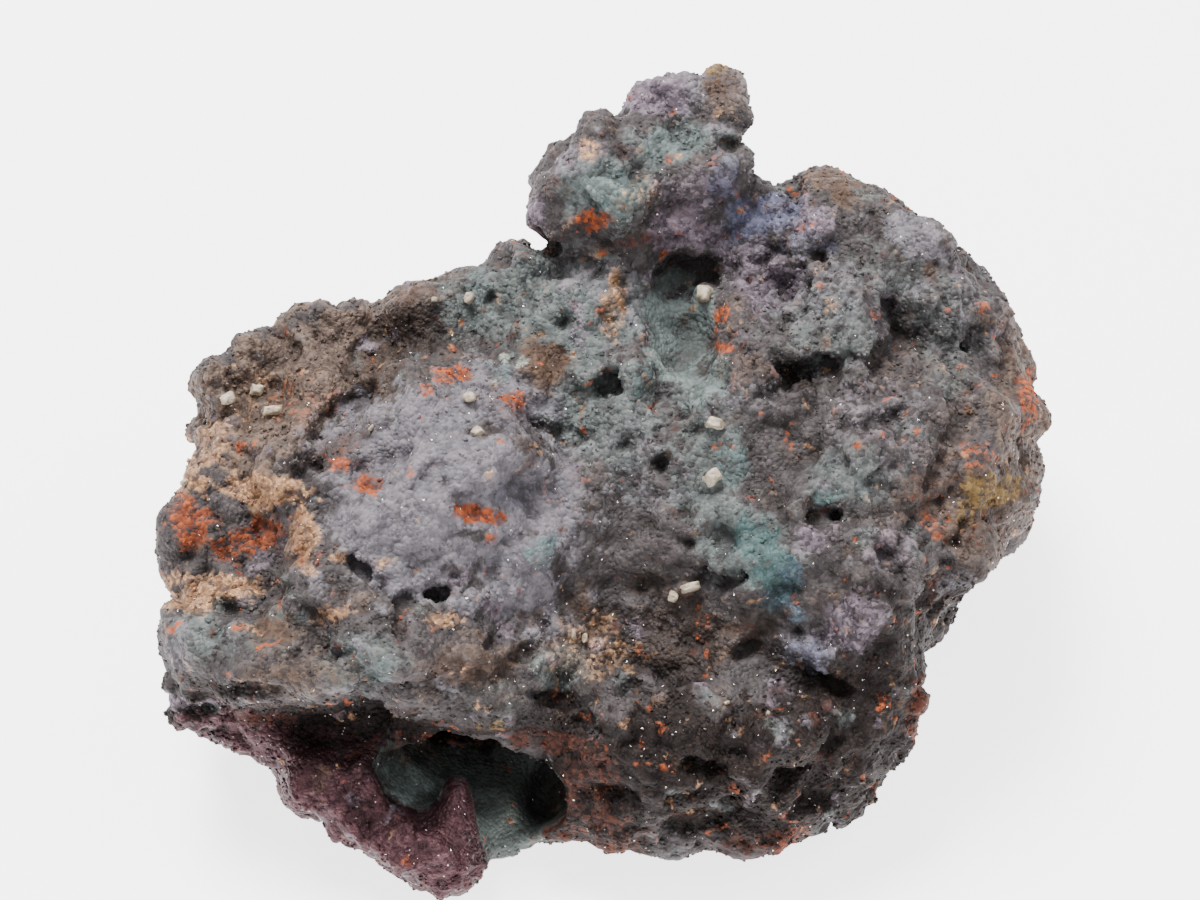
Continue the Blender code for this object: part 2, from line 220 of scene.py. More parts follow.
def newPiece(name, places, faces, smooth=True):
    # places in mm, faces as rows of three or four corners
    mesh = bpy.data.meshes.new(name)
    corners = faces.shape[1]
    mesh.vertices.add(len(places))
    mesh.loops.add(faces.size)
    mesh.polygons.add(len(faces))
    mesh.loops.foreach_set("vertex_index", faces.astype(np.int32).ravel())
    mesh.polygons.foreach_set("loop_start", np.arange(0, faces.size, corners, dtype=np.int32))
    mesh.polygons.foreach_set("use_smooth", np.full(len(faces), smooth))
    putPlaces(mesh, places)
    mesh.validate()
    piece = bpy.data.objects.new(name, mesh)
    bpy.context.scene.collection.objects.link(piece)
    return piece


# Where the crust is calmer than elsewhere: across, up, wide, tall, turn in degrees and strength
calmSoft = 0.5  # softness of their edges, as a share of their size
calmPlaces = [
    (-14.5, -36, 10.5, 5.5, -10, 1),  # inside the mouth
    (9.5, 18, 4.5, 8, 6, 0.85),  # the wall under the horn
    (-19, 0, 13, 11, 10, 0.45),  # the blue-grey lobe
    (-9, -6, 8, 8, 0, 0.45),
]


# Small hollows and lumps of the face: across, up, wide, tall, turn, and how deep or high in mm
formShape = dict(
    hollowSoft=0.5,  # softness of the edges of notches and dents, as a share of their size
    lumpSoft=0.9,
    waver=(0.28, 1.6, 34, 2),  # how much, size in mm, salt and layers of the noise that moves their edges
    turnedAway=(-0.4, 0.0),  # dents and lumps fade out where the surface turns from the eye, between these
)
notches = [
    (-7.8, 27.5, 3.6, 1.2, -22, 3.6),  # left of the horn, through the outline
]
dents = [
    (-27.9, -9.9, 1.8, 0.8, -40, 2), (-25.2, -11.5, 1.1, 0.8, 0, 1.2), (-22.1, -13.7, 1.3, 1, 20, 1.8),
    (-18.3, -13.2, 1, 0.9, 0, 1.8), (-22.8, -16.6, 1, 1.7, 0, 1.8), (-8.4, -19.7, 1.8, 1, 10, 1.8),
    (-3.8, 5.4, 2, 1, -10, 1.8), (3.2, 4.4, 2, 0.9, 30, 1.4), (-5.2, -25, 4.2, 0.7, -6, 1.3),
    (4, -23.9, 1.8, 1.1, 0, 1.6), (-39.8, -24, 3.6, 0.8, -4, 1.5), (-4.2, 18.1, 0.9, 0.9, 0, 1.8),
    (3.4, 23.1, 2, 0.9, 0, 1.5), (19.8, 10.2, 2.4, 0.9, 15, 1.5), (32, 7, 3.8, 0.9, 24, 1.8),
    (31.7, 13.6, 0.9, 2.6, 0, 1.6), (-29, 8.6, 6, 1.3, 42, 1.8), (-33, 1, 3, 1, 30, 1.2),
    (14.8, 38, 1.4, 0.8, 20, 1.5), (22.4, 32.6, 0.9, 1.6, 0, 1.6), (9, -7, 2.6, 0.9, -30, 1.4),
    (14.6, -11.6, 1.8, 1, 20, 1.4), (24.8, -4.6, 1.1, 1, 0, 1.8), (7, 2, 1.4, 0.9, 40, 1.3),
    (26, -23, 3.4, 1, -25, 1.8), (17, -19.5, 2.2, 0.9, 20, 1.5), (33.5, -9.5, 2.4, 1, -50, 1.6),
    (12, -33, 3, 1, -15, 1.7), (24, -37, 2.6, 1.1, 10, 1.7), (38.5, 1, 2.8, 0.9, 60, 1.3),
    (41, 12, 2.4, 0.9, -60, 1.3), (-12.2, -18.6, 1.1, 0.9, 0, 1.4), (-31, -20, 2, 1, -30, 1.2),
]
lumps = [
    (26.2, 33.2, 3.2, 1.8, -10, 1.1),  # the dome's crest
    (14.6, 34.8, 1.5, 2.4, 0, 1.3), (0, 40.2, 1.4, 1.1, 0, 0.7), (-9.4, 26.2, 2.2, 1.4, 0, 1.1),
    (-46.4, 5.4, 1.6, 1.4, 0, 1.2), (-44.6, 11.8, 2.4, 2, 0, 1), (-49.4, -15.6, 1.8, 2.2, 0, 0.9),
    (-6.5, 13.5, 3, 2.8, 0, 0.9), (29, 17.5, 3.2, 2.4, 0, 1), (20, 14.5, 2.4, 2, 0, 0.9),
    (12, 8.8, 2.2, 1.6, 0, 0.8), (-21, -20.5, 3, 2, 0, 0.8), (22, -29, 3, 2.2, 0, 0.9),
    (34, -22, 2.6, 2.2, 0, 1), (37, 8.5, 2.4, 2, 0, 0.8),
]


def patchMask(ground, patches, soft=0.9):
    # the strongest patch at each point: its strength inside its oval, 0 outside, and an edge that wavers.
    # An oval's reach is the length of (along / wide, aside / tall), which is 1 on its edge.
    mask = np.zeros(len(ground["across"]))
    for across, up, wide, tall, turn, strength in patches:
        angle = math.radians(turn)
        side, rise = ground["across"] - across, ground["up"] - up
        along = side * math.cos(angle) + rise * math.sin(angle)
        aside = rise * math.cos(angle) - side * math.sin(angle)
        reach = np.hypot(along / wide, aside / tall)
        mask = np.maximum(mask, strength * ease(1 + soft / 2 - reach + ground["waver"], 0, soft))
    return mask


survey = dict(
    normals=10,  # how often the crust's normals are evened
    waver=((0.42, 5.0, 11, 3), (0.30, 1.3, 12, 2)),  # how much, size in mm, salt and layers
    turnedAway=(-0.45, -0.1),  # patches fade out where the surface turns from the eye, between these
)


def surveyed(places, normals, crevice):
    # what the finishes need to know of each point
    across, up, out = onFace(places)
    waver = sum(much * softNoise(places, size, salt, layers) for much, size, salt, layers in survey["waver"])
    return dict(
        at=places, across=across, up=up, out=out, waver=waver, crevice=crevice,
        seen=ease(normals @ eyeBack, *survey["turnedAway"]),
    )


def calmness(places):
    # 1 in the calm places of the face and 0 elsewhere
    across, up, _ = onFace(places)
    return patchMask(dict(across=across, up=up, waver=0), calmPlaces, calmSoft)


nuggetShape = dict(
    mergeWithin=0.01,  # mm, points of the CAD's triangles that are one
    firstVoxel=0.5,  # mm, for the first skin, with the knobs, pits, cracks, dents and lumps
    facetSmoothing=7,  # how often its points are evened, to round the CAD's facets
    firstNormals=4,  # how often its normals are evened
    bend=(5.0, 2),  # size in mm and layers of the noise that bends the patterns below
    bigKnob=(5.4, 1.7, 1.6),  # size, height and bend, mm
    midKnob=(2.6, 1.2, 0.9),
    pit=(3.6, 0.30, 1.5, 0.5),  # one in a block of this size, its radius as a share of that, depth, bend
    pitFloor=0.4,  # share of a pit's radius that is flat
    pitBlocks=(0.55, 0.75),  # a block has no pit below the first number, all of it past the second
    crack=(4.4, 0.14, 1.1, 1.2),  # along the sides of blocks of this size, width as a share, depth, bend
    crackPlaces=(7.0, 0.0, 0.4),  # noise of this size says where: none below the second, all past the third
    firstRough=(0.85, 0.75, 0.5, 11.0),  # what calm takes off, the mean, its swing, and the swing's size
    firstFoot=(0.3, 2.5),  # no relief below the first height over the table, all of it above the second
    secondVoxel=0.38,  # mm, for the second skin, with the small knobs and the grain
    secondNormals=2,
    smallKnob=(1.3, 0.50),
    grain=(0.72, 0.22),
    secondRough=(0.7, 0.8, 0.5, 8.0),
    secondFoot=(0.1, 1.5),
    mostTriangles=192000,
)


def nuggetBody():
    # The CAD nugget's skin, evened, then pushed out and in along its normals: first by large knobs, pits,
    # cracks, lumps and dents, then by small knobs and grain
    shape = nuggetShape
    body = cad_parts["copper_nugget"].copy()
    body.data = body.data.copy()
    body.name = body.data.name = "nugget_crust"
    body.parent = None
    for key in list(body.keys()):
        del body[key]
    bpy.context.scene.collection.objects.link(body)
    bm = bmesh.new()
    bm.from_mesh(body.data)
    bmesh.ops.remove_doubles(bm, verts=bm.verts, dist=shape["mergeWithin"] * mm)
    bm.to_mesh(body.data)
    bm.free()

    mesh = revoxeled(body, shape["firstVoxel"])
    places = evened(mesh, placesOf(mesh), shape["facetSmoothing"])
    putPlaces(mesh, places)
    print("nugget skin:", len(mesh.vertices), "points")
    normals = evened(mesh, normalsOf(mesh), shape["firstNormals"])
    size, layers = shape["bend"]
    bend = np.stack([softNoise(places, size, salt, layers) for salt in (21, 22, 23)], axis=1)
    less, mean, swing, size = shape["firstRough"]
    rough = (1 - less * calmness(places)) * (mean + swing * softNoise(places, size, 31, 2))
    rough *= ease(places[:, 2], *shape["firstFoot"])
    size, height, far = shape["bigKnob"]
    lift = height * knobs(places + bend * far, size, 41)
    size, height, far = shape["midKnob"]
    lift += height * knobs(places + bend * far, size, 42)
    size, radius, depth, far = shape["pit"]
    away, _, number = nearestPoint(places + bend * far, size, 45)
    lift -= depth * (1 - ease(away, shape["pitFloor"] * radius, radius)) * ease(number, *shape["pitBlocks"])
    size, width, depth, far = shape["crack"]
    first, second, _ = nearestPoint(places + bend * far, size, 46)
    size, low, high = shape["crackPlaces"]
    lift -= depth * (1 - ease(second - first, 0, width)) * ease(softNoise(places, size, 33), low, high)

    across, up, _ = onFace(places)
    much, size, salt, layers = formShape["waver"]
    plain = dict(across=across, up=up, waver=much * softNoise(places, size, salt, layers))
    soft = formShape["hollowSoft"]
    forms = patchMask(plain, lumps, formShape["lumpSoft"]) - patchMask(plain, dents, soft)
    lift = lift * rough + forms * ease(normals @ eyeBack, *formShape["turnedAway"])
    lift -= patchMask(plain, notches, soft)
    places = places + normals * lift[:, None]
    places[:, 2] = np.maximum(places[:, 2], 0)
    putPlaces(mesh, places)

    mesh = revoxeled(body, shape["secondVoxel"])
    places = evened(mesh, placesOf(mesh), 1)
    print("nugget knobs:", len(mesh.vertices), "points")
    putPlaces(mesh, places)
    normals = evened(mesh, normalsOf(mesh), shape["secondNormals"])
    less, mean, swing, size = shape["secondRough"]
    rough = (1 - less * calmness(places) ** 2) * (mean + swing * softNoise(places, size, 32, 2))
    rough *= ease(places[:, 2], *shape["secondFoot"])
    size, height = shape["smallKnob"]
    lift = height * knobs(places, size, 43)
    size, height = shape["grain"]
    lift += height * knobs(places, size, 44)
    places = places + normals * (lift * rough)[:, None]
    places[:, 2] = np.maximum(places[:, 2], 0)
    putPlaces(mesh, places)
    mesh = thinned(body, shape["mostTriangles"])
    mesh.polygons.foreach_set("use_smooth", np.full(len(mesh.polygons), True))
    print("nugget crust:", len(mesh.polygons), "faces")
    return body


creviceShape = dict(
    normals=3,  # how often the normals are evened
    places=14,  # how often the points are evened
    full=0.45,  # mm below the evened surface that count as 1
)


def creviceOf(mesh, places):
    # how far each point lies below (+) or above (-) the evened surface, over a full depth, from -1 to 1
    normals = evened(mesh, normalsOf(mesh), creviceShape["normals"])
    wide = evened(mesh, places, creviceShape["places"])
    depth = ((wide - places) * normals).sum(1)
    return np.clip(depth / creviceShape["full"], -1, 1)


# Finishes, laid over each other in this order. colour and second: the two tones it wavers between.
# patches: across, up, wide, tall, turn and strength on the face. behind and blotch: how much of the
# hidden sides it takes, and in what size. flecks: size and share of small spots all over. torn: how
# ragged its edges are, where more than usual. below: only in hollows deeper than this "out".
finishes = dict(
    brown=dict(
        colour=(0.068, 0.048, 0.040), second=(0.148, 0.105, 0.083), roughness=0.62, metallic=0.35,
        behind=0.45, blotch=14.0, flecks=(3.2, 0.3),
        patches=[
            (-33, 13, 13, 8, 15, 0.95), (-42, 6, 7, 9, 20, 0.9), (-28, 8, 7, 6, 30, 0.8),
            (-6.5, 13.5, 3.2, 3, 0, 1), (13.5, 44, 3.5, 3.5, 0, 0.9), (27, 34, 4, 2.5, -20, 0.9),
            (-36, -22.5, 9, 3, 0, 0.6), (-3, -18, 4, 6, 0, 0.8), (48, 8, 4, 12, 0, 0.7),
            (44, -4, 7, 7, 0, 0.8), (9, 46.5, 6, 1.6, 0, 0.5), (-22, 22, 8, 3, 10, 0.7),
            (34, -3, 6, 4, 20, 0.5), (40, 6, 5, 6, 0, 0.5), (33, 14, 5, 3, 20, 0.45),
            (17, 12, 4, 3, 0, 0.4), (-1, 2, 4, 4, 0, 0.45), (-14, -21, 7, 4, 0, 0.7),
            (-37, -17, 4, 2.6, 0, 0.8), (8, -17, 10, 6, 0, 0.6), (-8, 28.6, 3, 2, 0, 0.4),
        ],
    ),
    # Dark brown crust and painted shade: its patches darken the front wall that faces down and away from the
    # light, the band under the brow's overhang, the groove between shoulder and lobe and the middle recess
    darkBrownAndShade=dict(
        colour=(0.0075, 0.005, 0.0046), second=(0.019, 0.0125, 0.0108), roughness=0.58, metallic=0.3,
        behind=0.4, blotch=9.0, flecks=(2.6, 0.24),
        patches=[
            (5, -19, 12, 8, -10, 0.6), (14, -33, 22, 10, -5, 1), (28, -30, 12, 13, 0, 0.9),
            (33, -18, 8, 8, 0, 0.75), (0, -36, 9, 8, 0, 0.9), (-1, -41.5, 9, 4, 0, 0.9),
            (-20, 17, 4, 4, 0, 0.7), (23, 12, 5, 2.5, 5, 0.8), (31, 14, 6, 3, 10, 0.4),
            (8, 24.5, 4, 2, 0, 0.5), (-30, -28, 20, 2.2, -5, 1.1), (-44.5, -26.2, 7, 3.8, -4, 1),
            (40, -14, 6, 5, 40, 0.7), (44.5, -4, 5, 7, 0, 0.55), (-11, -27, 7, 2, 10, 0.5),
            (-4.5, -12, 1.5, 7, 10, 0.6), (-2, -24, 4, 3, 0, 0.6), (-3.5, -27, 5, 2.4, -10, 0.9),
            (-25, 14, 6, 4, 20, 0.6), (-29, 8, 2, 5, -40, 0.6), (-14, -22.5, 6, 3, 5, 0.75),
            (-37, -17.2, 3.6, 1.7, -10, 0.6), (-6.5, 12.6, 2.6, 1.6, 0, 0.5), (33, 4, 5, 2, 25, 0.4),
        ],
    ),
    tealGrey=dict(
        colour=(0.060, 0.072, 0.071), second=(0.122, 0.138, 0.136), roughness=0.72, metallic=0.1,
        behind=0.26, blotch=12.0, flecks=(3.6, 0.22),
        patches=[
            (-3, 19, 9, 8, 0, 0.9), (-12, 20, 6, 5, 0, 0.8), (1, 8, 8, 8, 0, 0.7), (9.5, 15, 4.5, 8, 5, 1),
            (13, 2, 5, 7, 0, 0.75), (17, -7, 6, 6, -10, 0.9), (-6, -5, 3, 4, 0, 0.7),
            (8.5, 38.5, 6.5, 3, 0, 0.9), (0, 33, 4.5, 5, 20, 0.85), (28, 0, 6, 4, 0, 0.7),
            (40, 16, 5, 8, 0, 0.5), (35, 22, 8, 5, -30, 0.5), (-27, -21, 5, 4, 0, 0.7),
            (-30, 6, 4, 3, 30, 0.4), (-5, -22, 4, 3, 0, 0.7), (-46, -18, 4, 4, 0, 0.75),
            (-41, -18, 7, 4, 0, 0.5), (-35, -19, 9, 5, 0, 0.3), (-12, -24.5, 7, 3, 5, 0.4),
            (26, 17, 7, 6, 0, 0.6),
        ],
    ),
    blueGrey=dict(
        colour=(0.104, 0.097, 0.113), second=(0.185, 0.169, 0.187), roughness=0.75, metallic=0.15,
        behind=0.2, blotch=11.0, flecks=(4.0, 0.12),
        patches=[
            (-19, 2, 12, 9, 10, 1), (-21, -8, 11, 7, 0, 1), (-9, -3, 8, 8, 0, 1), (-13, 9, 8, 5, 0, 0.8),
            (-9, -11, 4.5, 7, 20, 1), (-27, -3, 5, 6, 0, 0.7), (-18, -20, 7, 3, -10, 0.3),
            (-1, 24, 6, 4, 0, 0.55), (3, 3, 6, 6, 0, 0.4), (25, 21, 7, 4, 0, 0.5), (34, 6, 9, 8, 0, 0.4),
            # (9, 44.4) is painted light, lightening the horn's tip where it is lit from above
            (36, 27.6, 4, 2.2, -35, 0.8), (9, 44.4, 8, 3.4, 0, 0.8), (44, 18, 4, 6, 20, 0.4),
            (18, 10, 6, 6, 0, 0.35), (24, -19, 3.4, 2.6, -30, 0.6), (16, 26, 5, 4, 0, 0.4),
            (-48, -19, 2.5, 4, 0, 0.6),
        ],
    ),
    purple=dict(
        colour=(0.036, 0.016, 0.02), second=(0.08, 0.037, 0.042), roughness=0.42, metallic=0.6,
        behind=0.06, blotch=7.0,
        patches=[
            (-32, -34.5, 8, 5, -35, 1), (-21, -41, 10, 4.5, -10, 1), (-16.8, -39.2, 4, 6.5, 12, 1),
            (-25, -38, 8, 4, -20, 1), (-37, -29.5, 9, 2.5, -5, 0.6), (9.5, 28.5, 4, 3, 0, 0.35),
            (-44, -28, 6, 3.4, 0, 0.4), (-26, -32.5, 8, 3, -10, 0.8), (-31, -38, 10, 4.2, -42, 1),
            (-19, -45.5, 8, 3.8, -8, 1), (-42, -29.5, 7, 3, -28, 0.75), (-36.5, -33, 8, 4.5, -60, 1.2),
            (-25.5, -44.8, 8, 3.4, -38, 1.1),
        ],
    ),
    greyGreen=dict(
        colour=(0.062, 0.076, 0.070), second=(0.094, 0.112, 0.103), roughness=0.6, metallic=0.0,
        below=11.2,
        patches=[
            (-17, -35, 9, 4, -12, 1.3), (-9.5, -37.5, 6.5, 6.5, 10, 1.3), (-22, -35, 4.5, 3.6, 0, 1.3),
        ],
    ),
    violet=dict(
        colour=(0.098, 0.077, 0.100), second=(0.212, 0.170, 0.206), roughness=0.65, metallic=0.3,
        behind=0.1, blotch=7.0, flecks=(4.0, 0.1),
        patches=[
            # (9.5, 28.2) is painted light, a lighter patch in the horn's deep, shaded throat
            (6.5, 43.6, 4.5, 2.4, 5, 1), (9.5, 28.2, 4, 2.8, 0, 0.8), (24, 30, 3.5, 2.5, -15, 0.8),
            (19, 22, 4, 5, 0, 0.6), (-8, 30.5, 2.5, 3, 0, 0.7), (15, 28, 4, 4, 0, 0.5),
            (28.5, -16, 4.2, 3.6, 0, 0.6), (24.5, -6.5, 4, 2.4, 0, 0.55), (30, 9, 5, 3, 20, 0.4),
            (11, 33, 4, 4, 0, 0.6), (33, -8, 4, 3, 0, 0.5), (20, -24, 3, 2, 0, 0.5), (14, 9, 3, 3, 0, 0.4),
            (-2, 37, 4, 1.6, 30, 0.6),
        ],
    ),
    blueViolet=dict(
        colour=(0.070, 0.072, 0.118), second=(0.130, 0.132, 0.190), roughness=0.6, metallic=0.3,
        behind=0.03, blotch=6.0,
        patches=[
            (18.5, 30.5, 4.5, 2.6, -5, 0.9), (14, 34, 2.6, 3, 0, 0.6), (23, 27.5, 4, 2, -10, 0.5),
            (-10, -2, 3, 2, 0, 0.4), (24, -20, 2.6, 1.6, -30, 0.6),
        ],
    ),
    brightTeal=dict(
        colour=(0.034, 0.070, 0.070), second=(0.078, 0.128, 0.128), roughness=0.6, metallic=0.15, torn=0.9,
        behind=0.07, blotch=5.0,
        patches=[
            (18, -6.5, 4, 3, 0, 0.8), (20.5, -10.5, 3, 3, 0, 0.9), (15.5, 2, 3, 3.4, 0, 0.5),
            (-7, -8, 2.4, 2.6, 0, 0.6), (-10.5, -39.5, 3.6, 3.6, 0, 0.2), (8.5, 17.5, 2.6, 4, 0, 0.35),
            (1.5, 33, 3, 2.5, 0, 0.6), (26, -2, 2.5, 2, 0, 0.5), (0, 25.5, 3, 1.6, 0, 0.5),
            (-11, 12.6, 1.6, 1.6, 0, 0.5), (5.5, 13, 1.6, 4, -10, 0.5), (-25.6, -22.3, 2, 2, 0, 0.5),
            (8, 38.5, 5, 2, 0, 0.45), (-14, 22, 3, 2, 0, 0.4), (27, 20, 3, 2, 0, 0.35),
        ],
    ),
    navy=dict(
        colour=(0.036, 0.055, 0.078), second=(0.078, 0.114, 0.142), roughness=0.4, metallic=0.5,
        patches=[
            (22, -10.5, 2, 1.8, 0, 0.65), (20, -13.5, 2.4, 1.4, 0, 0.6), (23, -15.5, 1.4, 1.8, 0, 0.6),
        ],
    ),
    # Painted light: a paler teal that lifts places lying in the crust's own shade, the wall under the horn,
    # the horn's cheek and neck, the mouth's left pocket and the nose
    tealPaintedLight=dict(
        colour=(0.100, 0.128, 0.124), second=(0.165, 0.195, 0.190), roughness=0.7, metallic=0.1,
        patches=[
            (9.3, 16, 3.8, 7.5, 5, 1), (-45, -17.5, 2.6, 2.2, 0, 0.5), (-1, 34, 3.6, 2.6, 20, 0.55),
            (8, 38.6, 5, 2.2, 0, 0.5), (-2.6, 9.5, 3, 2.2, 0, 0.35), (-21.5, -34.5, 3, 2.6, 0, 0.9),
            (-9, 20, 7, 5, 10, 0.35), (-3, 7, 4, 3.4, 0, 0.45),
        ],
    ),
    umber=dict(
        colour=(0.046, 0.028, 0.021), second=(0.100, 0.062, 0.044), roughness=0.62, metallic=0.3,
        behind=0.2, blotch=6.0, flecks=(3.0, 0.05),
        patches=[
            (-6.5, 13.6, 3.4, 3.2, 0, 0.9), (-37, -17.2, 4, 1.8, -10, 0.8), (-14, -21.8, 5, 2, 0, 0.6),
            (13.4, 44.6, 2.8, 2.6, 0, 0.7), (27, 33.6, 3, 2, -20, 0.8), (36, -1, 4, 2.4, 20, 0.5),
            (-33, -22.2, 8, 1.6, 0, 0.5), (-8, 28.2, 2.4, 1.4, 0, 0.5), (17, 13, 3.4, 2, 0, 0.5),
            (36, 12, 3, 2, 30, 0.45), (22, 3, 3, 2.2, -20, 0.45), (47, 12, 2.4, 6, 0, 0.5),
        ],
    ),
    copper=dict(
        colour=(0.20, 0.100, 0.055), second=(0.42, 0.240, 0.130), roughness=0.5, metallic=0.5, torn=1.0,
        behind=0.09, blotch=6.0, flecks=(1.6, 0.02),
        patches=[
            (-44, 4, 3, 4, 0, 0.6), (-40, -1, 7, 2, -5, 0.8), (-34, -6, 1.6, 4, 10, 0.85),
            (-43, -12, 6, 1.8, -8, 0.75), (-31, -15.4, 4, 1.2, 10, 0.6), (-18, -16, 2.4, 1.4, 0, 0.6),
            (1.5, 20, 1.4, 6.5, -4, 0.6), (-6, 16.4, 1.8, 0.6, 0, 0.5), (-1, 38, 1.6, 1.2, 0, 0.6),
            (5, 33, 2, 2, 0, 0.4), (-47, -14, 2.6, 1.6, 0, 0.7), (-25, -9.5, 1.6, 1, 0, 0.5),
            (-30, -9, 2, 1.2, 0, 0.6), (0, -19.5, 5.5, 5, 0, 0.42), (-47, 2, 2, 3, 0, 0.6),
            (-40, 9, 5, 3, 20, 0.35),
        ],
    ),
    rust=dict(
        colour=(0.118, 0.023, 0.009), second=(0.360, 0.084, 0.028), roughness=0.8, metallic=0.0, torn=1.6,
        behind=0.08, blotch=5.0, flecks=(1.8, 0.02),
        patches=[
            (-47, -5, 2.6, 2.8, 0, 0.75), (-39, -6.5, 3.4, 1.6, 10, 0.7), (-13.5, -4, 3.2, 1.1, -8, 1.1),
            (-13, -6.5, 1, 0.8, 0, 0.8), (-10, 9, 2, 1.2, 20, 0.8), (-17, 12, 2, 1.4, 10, 0.7),
            (-26.5, -0.8, 1.6, 1.4, 0, 0.8), (-29.5, 2, 2.6, 1.2, -10, 0.6), (-1, 29.5, 2, 1.4, 0, 0.85),
            (14, 19, 0.9, 1.2, 0, 0.8), (14.5, 15.4, 1.8, 0.9, 5, 0.85), (36.4, -27, 1.2, 3.4, 0, 0.5),
            (49, 9.5, 1.4, 3, 0, 0.6), (43, 3, 2.6, 2, 0, 0.45), (38, -5.5, 2.2, 1.6, 0, 0.55),
            (-1, -34.5, 3.6, 4.5, 0, 0.25), (5, -40, 4, 2, 0, 0.25), (22, -41, 3, 1.4, 20, 0.45),
            (-2, -41.6, 6, 2.4, 0, 0.3), (-7.5, -29.6, 4, 1, -5, 0.35), (-38, -27.4, 2, 0.7, 0, 0.6),
            (-42, -8, 2.6, 1.6, 0, 0.6), (-15, -30, 6, 0.8, -5, 0.35), (-20, 10.5, 1.2, 0.8, 0, 0.6),
            (-5, -38, 2, 4, 0, 0.3), (-34, 9, 4, 3, 0, 0.3), (44, -2, 3, 5, 0, 0.3),
            (13, 36.5, 1, 1, 0, 0.4), (3, 27, 3, 1, 20, 0.35),
        ],
    ),
    redBrown=dict(
        colour=(0.026, 0.010, 0.008), second=(0.072, 0.024, 0.015), roughness=0.7, metallic=0.1,
        behind=0.08, blotch=6.0, flecks=(2.4, 0.05), torn=0.8,
        patches=[
            (-1, -35, 4, 6, 0, 0.55), (-1, -41, 8, 3, 0, 0.55), (18, -42, 8, 2, 0, 0.5),
            (36.8, -26, 2, 4, 0, 0.6), (-6, -30, 5, 1.4, -5, 0.6), (-38, -27.2, 5, 1.2, 0, 0.6),
            (-24, -30.4, 6, 1.2, -5, 0.5), (-43, -6.5, 6, 3, 0, 0.4), (-36, -6.5, 3, 3.6, 0, 0.45),
            (-29, 4, 5, 1.6, 30, 0.5), (-11, 8, 4, 2, -30, 0.45), (38, -3, 4, 4, 0, 0.4),
            (9, 30.6, 3, 1.2, 0, 0.4), (4, 27.2, 3.4, 1, 10, 0.5), (30, 4, 3, 2, 0, 0.35),
            (-3, 0, 3, 3, 0, 0.35),
        ],
    ),
    ochre=dict(
        colour=(0.130, 0.078, 0.026), second=(0.205, 0.130, 0.052), roughness=0.85, metallic=0.0, torn=1.0,
        behind=0.02, blotch=4.0,
        patches=[
            (44, -1.5, 3.4, 2.4, 10, 0.75), (13, 47, 2, 0.8, 0, 0.6), (-12.8, -28, 2, 0.7, 0, 0.4),
            (42, -3.5, 2, 2, 0, 0.5),
        ],
    ),
    mint=dict(
        colour=(0.210, 0.245, 0.215), second=(0.330, 0.350, 0.300), roughness=0.8, metallic=0.0,
        patches=[
            (-9, 13.5, 1.2, 0.9, 0, 0.7), (-11, 14, 0.9, 0.8, 0, 0.7), (-11.5, 11.2, 0.8, 0.7, 0, 0.5),
        ],
    ),
)


stainShape = dict(
    fleck=(0.62, 0.5, 0.55),  # where the noise starts a fleck of no share, how soft it is, its strength
    blotch=(0.75, 1.5, 0.35),  # where it starts a blotch, how far "behind" lowers that, how soft it is
    blotchWaver=0.8,
    belowSoft=1.5,  # mm
)


def stain(mesh, ground):
    # one number for each finish at each point: its patches on the face, its own blotches elsewhere
    for salt, (name, finish) in enumerate(finishes.items()):
        mask = patchMask(ground, finish["patches"]) * ground["seen"]
        if "flecks" in finish:
            size, share = finish["flecks"]
            start, soft, strength = stainShape["fleck"]
            fleck = ease(softNoise(ground["at"], size, 90 + salt, 2), start - share, start - share + soft)
            mask = np.maximum(mask, strength * fleck)
        if "below" in finish:
            mask *= ease(finish["below"] - ground["out"], 0, stainShape["belowSoft"])
        if "behind" in finish:
            start, lower, soft = stainShape["blotch"]
            start -= lower * finish["behind"]
            blotch = softNoise(ground["at"], finish["blotch"], 60 + salt, 3)
            blotch = ease(blotch + stainShape["blotchWaver"] * ground["waver"], start, start + soft)
            mask = np.maximum(mask, blotch * (1 - ground["seen"]))
        addNumbers(mesh, "stain_" + name, mask)
    # depth below the evened surface, which the crust's material turns into painted shade in crevices and a
    # painted highlight on high points
    addNumbers(mesh, "crevice", ground["crevice"])


def addNumbers(mesh, name, numbers):
    # an attribute that a material can read
    layer = mesh.attributes.new(name, "FLOAT", "POINT")
    layer.data.foreach_set("value", numbers.astype(np.float32))


class Wire:
    # One output of a material's nodes. Python sums on wires add the Math nodes that work them out.
    def __init__(self, paint, socket):
        self.paint = paint
        self.socket = socket

    def maths(self, operation, first, second=0.0):
        return self.paint.node("ShaderNodeMath", dict(operation=operation), {0: first, 1: second})

    def __add__(self, other):
        return self.maths("ADD", self, other)

    def __radd__(self, other):
        return self.maths("ADD", other, self)

    def __sub__(self, other):
        return self.maths("SUBTRACT", self, other)

    def __rsub__(self, other):
        return self.maths("SUBTRACT", other, self)

    def __mul__(self, other):
        return self.maths("MULTIPLY", self, other)

    def __rmul__(self, other):
        return self.maths("MULTIPLY", other, self)

    def __gt__(self, other):
        return self.maths("GREATER_THAN", self, other)


